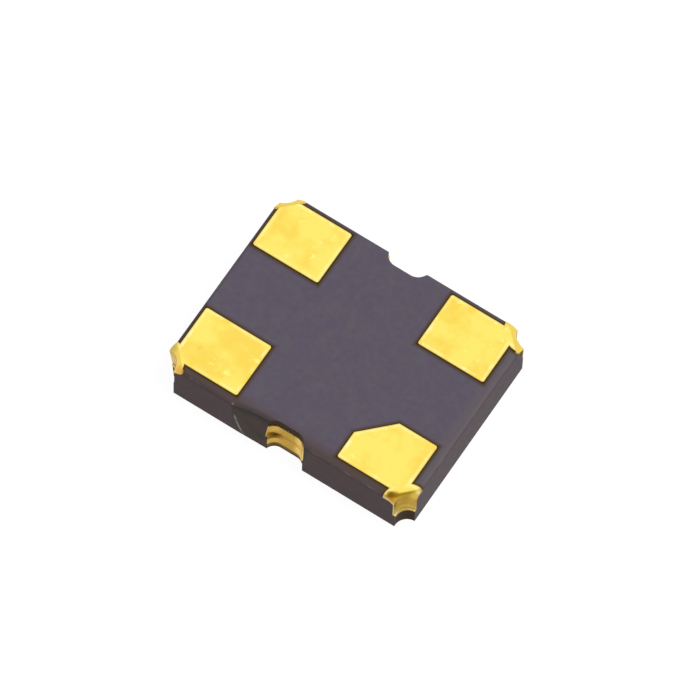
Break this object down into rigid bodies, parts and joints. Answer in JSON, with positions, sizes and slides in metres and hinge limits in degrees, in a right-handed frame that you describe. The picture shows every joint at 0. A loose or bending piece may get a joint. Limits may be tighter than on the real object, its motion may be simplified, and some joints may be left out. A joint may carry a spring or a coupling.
{
  "type": "crystal oscillator",
  "caption": "Small flat surface-mount crystal oscillator: dark ceramic package with gold solder terminals, plated corner castellations and side contacts, metal lid underneath.",
  "frame": {"origin": "centre of the lid's outer face, at the bottom of the part as it lies in the picture", "axes": "+Z out of the terminal face, +X along the length towards terminals 1 and 2, +Y across the width towards terminals 2 and 3"},
  "size_m": [0.0032, 0.0024, 0.0009],
  "materials": {
    "dark_alumina": "matt, as fired",
    "gold_plate": "satin gold plating with a slightly lumpy print",
    "kovar": "satin",
    "nickel_plate": "fine satin with seam-weld marks",
    "braze": "smooth",
    "quartz": "clear, fine-lapped",
    "electrode_film": "bright film",
    "silver_adhesive": "matt",
    "silicon": "smooth dark"
  },
  "bodies": {
    "root": {"ceramic_package": "dark_alumina", "ring_braze": "braze", "seal_ring": "kovar", "lid": "nickel_plate", "terminal_1": "gold_plate", "terminal_2": "gold_plate", "terminal_3": "gold_plate", "terminal_4": "gold_plate", "side_contact_front": "gold_plate", "side_contact_rear": "gold_plate", "crystal_blank": "quartz", "chip_side_electrode": "electrode_film", "lid_side_electrode": "electrode_film", "crystal_land_1": "gold_plate", "crystal_land_2": "gold_plate", "adhesive_dot_1": "silver_adhesive", "adhesive_dot_2": "silver_adhesive", "oscillator_chip": "silicon", "chip_bump_1": "gold_plate", "chip_bump_2": "gold_plate", "chip_bump_3": "gold_plate", "chip_bump_4": "gold_plate", "chip_bump_5": "gold_plate", "chip_bump_6": "gold_plate", "chip_land_1": "gold_plate", "chip_land_2": "gold_plate", "chip_land_3": "gold_plate", "chip_land_4": "gold_plate", "chip_land_5": "gold_plate", "chip_land_6": "gold_plate"}
  },
  "joints": []
}
